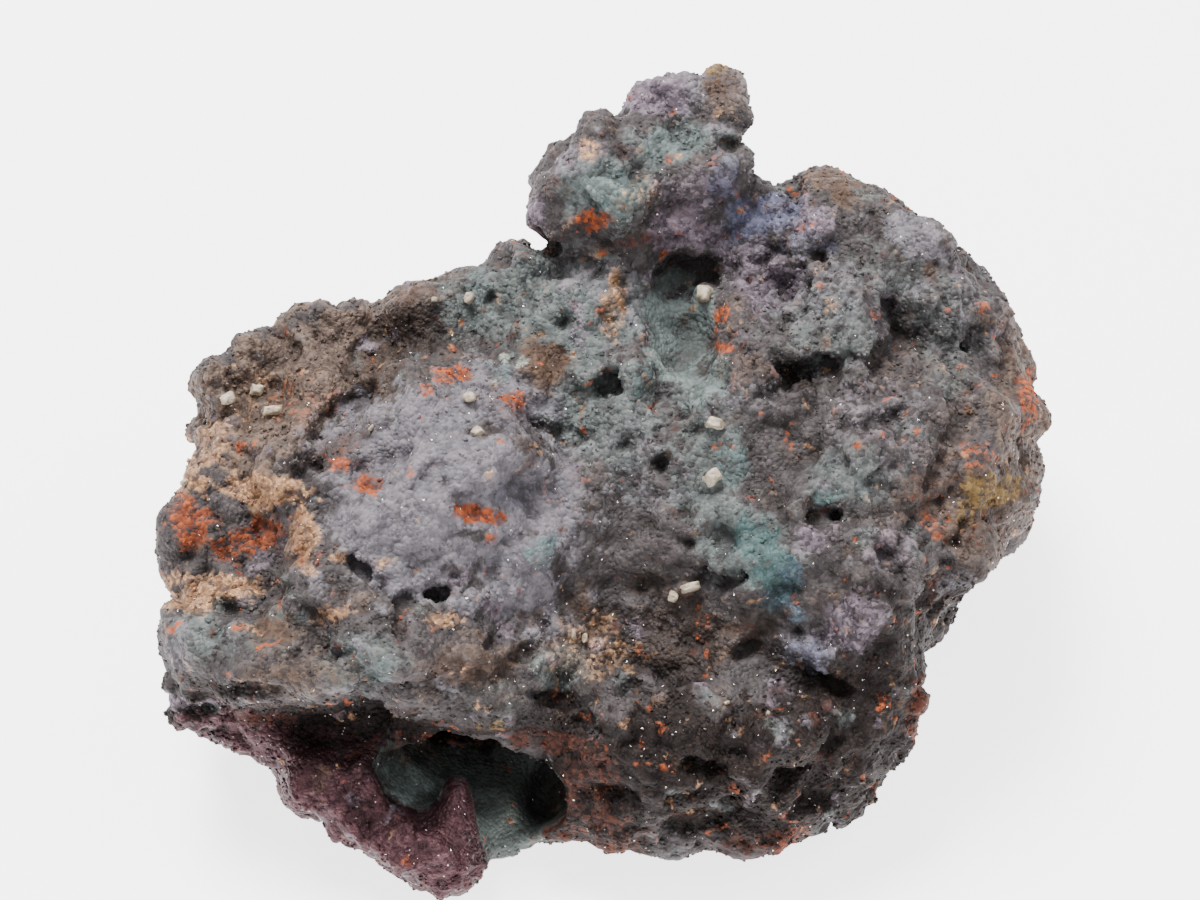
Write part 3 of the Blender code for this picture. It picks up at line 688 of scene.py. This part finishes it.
class Paint:
    # A material and its nodes
    def __init__(self, name):
        self.material = bpy.data.materials.new(name)
        self.material.use_nodes = True
        self.tree = self.material.node_tree
        self.tree.nodes.clear()

    def node(self, kind, settings=None, inputs=None, output=0):
        # a node of this type, its settings, and the values or wires of its sockets
        made = self.tree.nodes.new(kind)
        for key, value in (settings or {}).items():
            setattr(made, key, value)
        for key, value in (inputs or {}).items():
            if isinstance(value, Wire):
                self.tree.links.new(value.socket, made.inputs[key])
            else:
                made.inputs[key].default_value = value
        return Wire(self, made.outputs[output])

    def attribute(self, name):
        return self.node("ShaderNodeAttribute", dict(attribute_name=name), output="Fac")

    def noise(self, at, size, detail=3.0):
        inputs = {"Vector": at, "Scale": 1 / (size * mm), "Detail": detail}
        return self.node("ShaderNodeTexNoise", {}, inputs)

    def cells(self, at, size, output=0):
        # output 0 is the distance to the nearest point, 1 its cell's own colour
        inputs = {"Vector": at, "Scale": 1 / (size * mm)}
        return self.node("ShaderNodeTexVoronoi", dict(feature="F1"), inputs, output)

    def channel(self, colour, number):
        return self.node("ShaderNodeSeparateColor", {}, {0: colour}, number)

    def ramp(self, value, low, high):
        settings = dict(interpolation_type="SMOOTHSTEP")
        return self.node("ShaderNodeMapRange", settings, {0: value, 1: low, 2: high})

    def blend(self, factor, first, second, how="MIX"):
        first, second = [(*c, 1) if isinstance(c, tuple) else c for c in (first, second)]
        settings = dict(data_type="RGBA", blend_type=how)
        return self.node("ShaderNodeMix", settings, {0: factor, 6: first, 7: second}, 2)

    def vector(self, operation, first, second):
        key = "Scale" if operation == "SCALE" else 1
        return self.node("ShaderNodeVectorMath", dict(operation=operation), {0: first, key: second})

    def bump(self, height, distance, strength, **inputs):
        # distance in mm
        values = {"Height": height, "Distance": distance * mm, "Strength": strength, **inputs}
        return self.node("ShaderNodeBump", {}, values)

    def surface(self, **inputs):
        named = {key.replace("_", " "): value for key, value in inputs.items()}
        shader = self.node("ShaderNodeBsdfPrincipled", {}, named)
        end = self.tree.nodes.new("ShaderNodeOutputMaterial")
        self.tree.links.new(shader.socket, end.inputs["Surface"])
        return self.material


crustLook = dict(
    mottle=1.6,  # mm, size of the patches between a finish's two tones
    fine=0.70,  # mm, size of the roughness in a patch's edge
    grain=0.50,  # mm, the finest grains, which are relief in the finish
    micro=0.16,
    plain=((0.041, 0.035, 0.036), (0.075, 0.065, 0.066)),  # the two tones of bare crust
    plainRoughness=(0.66, 0.1),  # and how much it varies
    plainMetallic=0.2,
    tone=(0.55, 0.16, 0.84),  # the grains' share, and where the second tone starts and is full
    ragged=(0.8, 0.7, 0.26),  # how much mottle, fine and the grains' tones move a patch's edge
    torn=(0.6, 0.4),  # the least raggedness, and what a finish without its own "torn" adds where it is strong
    edge=(0.26, 0.88),  # stain strengths where a finish starts and is full
    crevice=(0.4, 0.35, 0.10, 1.05, 0.55),  # painted shade in crevices: the grains' share and middle, start, full, and how dark it gets
    creviceShadeColour=(0.016, 0.011, 0.010),
    worn=(0.4, 0.1, 0.9, 0.25),  # painted highlight on high points: the fine noise's share, start, full, and how light they get
    highPointHighlightColour=(1.0, 0.96, 0.92),
    glint=0.17,  # mm, size of the bright crystal facets
    glintShare=0.0012,  # of the plain crust
    glintMore=0.004,  # this much more where it is purple
    glintDark=0.6,  # and this share of that where it is dark brown
    glintColour=(0.55, 0.50, 0.48),
    glintRoughness=0.16,
    glintTip=1.3,  # how far the facets lean
    relief=(0.8, 0.35, 0.30, 0.9),  # the grains' and micro's shares, the height in mm, the strength
    shine=0.22,
)


def crustPaint():
    # Each finish's mask is a ramp of its stain plus ragged times (least + torn times stain)
    look = crustLook
    paint = Paint("tarnished_copper_crust")
    at = paint.node("ShaderNodeTexCoord", output="Object")
    mottle = paint.noise(at, look["mottle"], 4.0)
    fine = paint.noise(at, look["fine"], 2.0)
    grain = paint.cells(at, look["grain"])
    grainTone = paint.channel(paint.cells(at, look["grain"], 1), 0)
    micro = paint.noise(at, look["micro"], 2.0)

    share, low, high = look["tone"]
    tone = paint.ramp(mottle + share * (grainTone - 0.5), low, high)
    colour = paint.blend(tone, *look["plain"])
    mean, swing = look["plainRoughness"]
    roughness = mean + swing * (fine - 0.5)
    metallic = look["plainMetallic"]
    wide, narrow, grainy = look["ragged"]
    ragged = wide * (mottle - 0.5) + narrow * (fine - 0.5) + grainy * (grainTone - 0.5)
    least, usual = look["torn"]
    for name, finish in finishes.items():
        spread = paint.attribute("stain_" + name)
        mask = paint.ramp(spread + ragged * (least + finish.get("torn", usual) * spread), *look["edge"])
        own = paint.blend(tone, finish["colour"], finish["second"])
        colour = paint.blend(mask, colour, own)
        roughness = roughness + (finish["roughness"] - roughness) * mask
        metallic = metallic + (finish["metallic"] - metallic) * mask

    # Painted shade: the colour darkens towards the crevice shade colour where the crust lies below its evened
    # surface and between the grains
    crevice = paint.attribute("crevice")
    share, middle, low, high, much = look["crevice"]
    dark = paint.ramp(crevice + share * (grain - middle), low, high)
    colour = paint.blend(much * dark, colour, look["creviceShadeColour"])
    # Painted highlight: points above the evened surface are lightened, as tips that catch the light
    share, low, high, much = look["worn"]
    bright = paint.ramp(0.0 - crevice + share * (fine - 0.5), low, high)
    colour = paint.blend(much * bright, colour, look["highPointHighlightColour"], "SOFT_LIGHT")

    # The bright facets: cells whose own number passes a limit, each with a normal that leans its own way
    facet = paint.cells(at, look["glint"], 1)
    rich = paint.attribute("stain_purple") + look["glintDark"] * paint.attribute("stain_darkBrownAndShade")
    glint = paint.channel(facet, 2) > 1 - look["glintShare"] - look["glintMore"] * rich
    colour = paint.blend(glint, colour, look["glintColour"])
    roughness = roughness + (look["glintRoughness"] - roughness) * glint
    metallic = metallic + (1.0 - metallic) * glint
    normal = paint.node("ShaderNodeNewGeometry", output="Normal")
    lean = paint.vector("SUBTRACT", facet, (0.5, 0.5, 0.5))
    lean = paint.vector("SCALE", lean, look["glintTip"] * glint)
    faceted = paint.vector("NORMALIZE", paint.vector("ADD", normal, lean), (0, 0, 0))
    grainShare, microShare, height, strength = look["relief"]
    bump = paint.bump((1.0 - grain) * grainShare + microShare * micro, height, strength, Normal=faceted)
    return paint.surface(
        Base_Color=colour, Roughness=roughness, Metallic=metallic,
        Specular_IOR_Level=look["shine"], Normal=bump,
    )


# The crust's loose-looking grains: real little lumps, joined into a few pieces by where they sit
grainShape = dict(
    perPiece=5500,
    pieces=("crust_grains_left", "crust_grains_right", "crust_grains_front", "crust_grains_back"),
    small=0.15,  # mm, radius of the smallest and the largest
    large=0.38,
    largeFew=3,  # the power of the random number between them: the higher, the fewer large ones
    squash=(0.7, 0.5),  # the least width as a share of the radius, and how much more there may be
    wobble=0.10,  # how far a corner may stand out or in, as a share
    sunk=0.54,  # share of the radius below the surface
    calmLess=((0.6, 0.1, 0.4), (0.39, 0.5, 1.0)),  # what share calm places lose, between two calmnesses
    foot=(0.6, 1.4),  # mm, none below the first height over the table
    frontBelow=-19,  # "up" where the front piece begins
    backTurned=0.1,  # a grain that looks less than this towards the eye is in the back piece
    rightFrom=2,  # "across" where the right piece begins
    dimmer=0.45,  # how much less deep in a crevice a grain counts than the crust below it, so it takes less painted crevice shade
)


def ballCorners():
    # an icosahedron: twelve corners at unit distance and its twenty faces
    bm = bmesh.new()
    bmesh.ops.create_icosphere(bm, subdivisions=1, radius=1)
    corners = np.array([v.co for v in bm.verts])
    faces = np.array([[v.index for v in face.verts] for face in bm.faces])
    bm.free()
    return corners, faces


def crustGrains(body, crevice):
    # points picked on the skin by area, a squashed and turned little ball on each
    shape = grainShape
    chance = np.random.default_rng(5)
    mesh = body.data
    mesh.calc_loop_triangles()
    corners = np.empty(len(mesh.loop_triangles) * 3, np.int32)
    mesh.loop_triangles.foreach_get("vertices", corners)
    corners = corners.reshape(-1, 3)
    places, normals = placesOf(mesh), normalsOf(mesh)
    sides = places[corners]
    area = np.linalg.norm(np.cross(sides[:, 1] - sides[:, 0], sides[:, 2] - sides[:, 0]), axis=1)
    middle = sides.mean(1)
    calm = calmness(middle)
    (less, low, high), (lessAgain, lowAgain, highAgain) = shape["calmLess"]
    kept = 1 - less * ease(calm, low, high) - lessAgain * ease(calm, lowAgain, highAgain)
    area = area * kept * ease(middle[:, 2], *shape["foot"])
    total = shape["perPiece"] * len(shape["pieces"])
    picked = chance.choice(len(area), total, p=area / area.sum())
    mix = chance.dirichlet((1, 1, 1), total)
    spot = (sides[picked] * mix[:, :, None]).sum(1)
    stand = (normals[corners[picked]] * mix[:, :, None]).sum(1)
    stand /= np.linalg.norm(stand, axis=1)[:, None]
    deep = (crevice[corners[picked]] * mix).sum(1)

    ball, faces = ballCorners()
    radius = shape["small"] + (shape["large"] - shape["small"]) * chance.random(total) ** shape["largeFew"]
    turn = np.linalg.qr(chance.normal(size=(total, 3, 3)))[0]
    least, more = shape["squash"]
    squash = least + more * chance.random((total, 1, 3))
    wobble = 1 + shape["wobble"] * chance.normal(size=(total, len(ball), 1))
    balls = np.einsum("nij,nkj->nki", turn, ball[None] * squash * wobble) * radius[:, None, None]
    balls += (spot + stand * (radius * (1 - 2 * shape["sunk"]))[:, None])[:, None, :]
    flipped = np.linalg.det(turn) < 0  # a turn that mirrors its ball, whose faces are then read backwards

    across, up, _ = onFace(spot)
    group = np.where(across < shape["rightFrom"], 0, 1)
    group = np.where(stand @ eyeBack < shape["backTurned"], 3, group)
    group = np.where(up < shape["frontBelow"], 2, group)
    for number, name in enumerate(shape["pieces"]):
        chosen = np.flatnonzero(group == number)
        made = len(chosen)
        rows = faces[None] + (np.arange(made) * len(ball))[:, None, None]
        rows[flipped[chosen]] = rows[flipped[chosen]][:, :, ::-1]
        pointPlaces = balls[chosen].reshape(-1, 3)
        pointPlaces[:, 2] = np.maximum(pointPlaces[:, 2], 0)
        piece = newPiece(name, pointPlaces, rows.reshape(-1, 3), smooth=False)
        pointNormals = np.repeat(stand[chosen], len(ball), axis=0)
        pointDeep = np.repeat(deep[chosen] - shape["dimmer"], len(ball))
        stain(piece.data, surveyed(pointPlaces, pointNormals, pointDeep))
        yield piece
        print("grains:", name, made)


# Pale grains caught in the crust: across, up, length, width and height in mm, and turn in degrees
paleGrains = dict(
    ear=(-42.5, 9.3, 2.1, 1.7, 1.5, 20),
    earRight=(-39.3, 10.1, 1.9, 1.6, 1.4, -15),
    earLow=(-37.4, 7.9, 2.7, 1.4, 1.3, 5),
    pit=(-15.0, 9.5, 2.0, 1.5, 1.3, 15),
    pitLow=(-14.0, 5.3, 1.8, 1.7, 1.4, 40),
    crest=(-15.0, 20.8, 1.7, 1.4, 1.3, 60),
    recess=(12.0, 21.2, 2.5, 2.3, 1.9, 75),
    recessLow=(13.2, 6.4, 2.7, 1.5, 1.4, -15),
    face=(12.8, 0.2, 2.3, 2.1, 1.7, 35),
    rod=(10.3, -12.3, 3.0, 1.3, 1.4, 15),
    belly=(8.4, -13.2, 1.5, 1.3, 1.2, -20),
    slotGrey=(-3.1, -17.6, 0.8, 1.6, 0.9, 5),
    slotGreyRight=(-1.8, -18.0, 0.7, 1.5, 0.9, -5),
    flank=(-47.4, -0.3, 1.2, 0.9, 0.9, 30),
    crown=(-18.9, 20.6, 1.0, 0.8, 0.8, 0),
    toe=(14.5, -25.5, 0.9, 0.5, 0.6, 20),
    toeRight=(19.2, -26.8, 0.8, 0.6, 0.6, 70),
    shoulder=(-26.0, 6.0, 1.5, 0.5, 0.6, 50),
)


paleShape = dict(
    rings=13,
    spokes=20,
    powers=(0.45, 0.5, 0.5),  # of the ends, the outline and the height: the lower, the squarer
    taper=0.22,  # how much narrower the top is than the foot, as a share
    wear=(0.22, 3, 2),  # how much the sides wave, how many waves there are, in how many layers
    scale=(0.8, 0.8, 1.2),  # of length, width and height
    rise=0.22,  # share of its height that a grain is lifted by
    upright=1.2,  # how much it turns from the crust's normal to the eye
    castFrom=45.0,  # mm out, where the ray to its place starts
    castTo=-30.0,
    mergeWithin=0.002,  # mm
)


def signedPower(value, power):
    # the size of the value raised to the power, with the value's own sign
    return np.sign(value) * np.abs(value) ** power


def paleGrainPiece(body):
    # each grain is a rounded block: the sines and cosines of a ball's two angles raised to a power below one
    bm = bmesh.new()
    bm.from_mesh(body.data)
    tree = BVHTree.FromBMesh(bm)
    bm.free()
    shape = paleShape
    rings, spokes = shape["rings"], shape["spokes"]
    polar, around = np.meshgrid(
        np.linspace(-math.pi / 2, math.pi / 2, rings), np.linspace(0, 2 * math.pi, spokes, endpoint=False),
        indexing="ij",
    )
    endPower, outlinePower, heightPower = shape["powers"]
    flat = signedPower(np.cos(polar), endPower)
    block = np.stack([
        flat * signedPower(np.cos(around), outlinePower),
        flat * signedPower(np.sin(around), outlinePower),
        signedPower(np.sin(polar), heightPower),
    ], axis=-1).reshape(-1, 3) / 2
    low, high = np.arange(rings - 1)[:, None] * spokes, np.arange(1, rings)[:, None] * spokes
    here, there = np.arange(spokes), (np.arange(spokes) + 1) % spokes
    quads = np.stack([low + here, low + there, high + there, high + here], axis=-1).reshape(-1, 4)
    allPlaces, allFaces = [], []
    for number, (across, up, length, width, height, turn) in enumerate(paleGrains.values()):
        start = offFace(across, up, shape["castFrom"])
        line = offFace(across, up, shape["castTo"]) - start
        line /= np.linalg.norm(line)
        hit, normal, _, _ = tree.ray_cast(Vector(start * mm), Vector(line))
        stand = np.array(normal) - line * shape["upright"]
        stand /= np.linalg.norm(stand)
        side = np.cross(eyeUp, stand)
        side /= np.linalg.norm(side)
        rise = np.cross(stand, side)
        angle = math.radians(turn)
        along = side * math.cos(angle) + rise * math.sin(angle)
        aside = rise * math.cos(angle) - side * math.sin(angle)
        narrowed = block * (1 - shape["taper"] * (block[:, 2:] + 0.5) * np.array([[1, 1, 0]]))
        wave, waves, layers = shape["wear"]
        worn = narrowed * (1 + wave * softNoise(block * waves + number * 17, 1.0, 70, layers))[:, None]
        sized = worn * (np.array([length, width, height]) * shape["scale"])
        lift = stand * height * shape["rise"]
        place = np.array(hit) / mm + sized @ np.array([along, aside, stand]) + lift
        allFaces.append(quads + len(block) * number)
        allPlaces.append(place)
    piece = newPiece("pale_grains", np.concatenate(allPlaces), np.concatenate(allFaces))
    bm = bmesh.new()
    bm.from_mesh(piece.data)
    bmesh.ops.remove_doubles(bm, verts=bm.verts, dist=shape["mergeWithin"] * mm)  # closes the poles
    bmesh.ops.recalc_face_normals(bm, faces=bm.faces)
    bm.to_mesh(piece.data)
    bm.free()
    print("pale grains:", len(paleGrains))
    return piece


paleLook = dict(
    cloud=(0.9, 0.35, 0.65),  # size in mm, and where the noise leaves the first tone and reaches the second
    tones=((0.30, 0.235, 0.16), (0.54, 0.47, 0.36)),
    dust=(0.35, 0.56, 0.70, 0.6),  # size in mm, start, full, and how strong the brown dust is
    dustColour=(0.20, 0.12, 0.08),
    roughness=(0.45, 0.2),
    relief=(0.10, 0.6),  # mm, and its strength
)


def palePaint():
    look = paleLook
    paint = Paint("pale_mineral")
    at = paint.node("ShaderNodeTexCoord", output="Object")
    size, low, high = look["cloud"]
    cloud = paint.noise(at, size)
    colour = paint.blend(paint.ramp(cloud, low, high), *look["tones"])
    size, low, high, much = look["dust"]
    dust = paint.ramp(paint.noise(at, size), low, high)
    colour = paint.blend(much * dust, colour, look["dustColour"])
    least, more = look["roughness"]
    bump = paint.bump(cloud, *look["relief"])
    return paint.surface(Base_Color=colour, Roughness=least + more * cloud, Normal=bump)


# The table and the light
studio = dict(
    floorSize=6,  # m
    floorColour=(0.86, 0.85, 0.86),
    floorRoughness=0.7,
    worldColour=(1.0, 1.0, 1.0),
    worldStrength=0.74,
    floorGlow=3.4,  # a lit table, so that it stays nearly white
    lights=(
        # place, aimed at, width and height in m, watts, colour
        ((-0.22, 0.32, 0.92), (0, 0, 0.02), 0.45, 0.45, 25.0, (1.0, 0.985, 0.97)),
        ((0.60, 0.05, 0.80), (0, 0, 0.02), 0.60, 0.60, 5.0, (0.97, 0.98, 1.0)),
    ),
)


def makeStudio():
    bpy.ops.mesh.primitive_plane_add(size=studio["floorSize"])
    floor = bpy.context.object
    floor.name = "floor"
    paint = Paint("pale_floor")
    floor.data.materials.append(paint.surface(
        Base_Color=(*studio["floorColour"], 1), Roughness=studio["floorRoughness"],
        Emission_Color=(*studio["floorColour"], 1), Emission_Strength=studio["floorGlow"],
    ))
    world = bpy.data.worlds.new("studio")
    world.use_nodes = True
    background = world.node_tree.nodes["Background"]
    background.inputs["Color"].default_value = (*studio["worldColour"], 1)
    background.inputs["Strength"].default_value = studio["worldStrength"]
    bpy.context.scene.world = world
    for number, (place, aim, width, height, watts, colour) in enumerate(studio["lights"]):
        light = bpy.data.lights.new(f"soft_light_{number}", "AREA")
        light.shape, light.size, light.size_y = "RECTANGLE", width, height
        light.energy, light.color = watts, colour
        lamp = bpy.data.objects.new(light.name, light)
        lamp.location = place
        lamp.rotation_euler = (Vector(aim) - Vector(place)).to_track_quat("-Z", "Y").to_euler()
        bpy.context.scene.collection.objects.link(lamp)
    print("studio ready")


def makeCamera():
    data = bpy.data.cameras.new("camera")
    data.sensor_width = sight["sensor"]
    data.lens = sight["sensor"] * sight["distance"] / sight["frameWidth"]
    data.shift_y = sight["rise"]
    data.clip_start = sight["nearest"]
    camera = bpy.data.objects.new("camera", data)
    camera.location = Vector((faceCentre + eyeBack * sight["distance"]) * mm)
    camera.rotation_euler = (math.pi / 2 - tilt, 0, 0)
    bpy.context.scene.collection.objects.link(camera)
    bpy.context.scene.camera = camera


makeCamera()
makeStudio()
body = nuggetBody()
bodyPlaces = placesOf(body.data)
crevice = creviceOf(body.data, bodyPlaces)
bodyNormals = evened(body.data, normalsOf(body.data), survey["normals"])
stain(body.data, surveyed(bodyPlaces, bodyNormals, crevice))
print("stains laid:", len(finishes))
crust = crustPaint()
body.data.materials.clear()
body.data.materials.append(crust)
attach(body, "root")
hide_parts("copper_nugget")
for piece in crustGrains(body, crevice):
    piece.data.materials.append(crust)
    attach(piece, "root")
pale = paleGrainPiece(body)
pale.data.materials.append(palePaint())
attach(pale, "root")
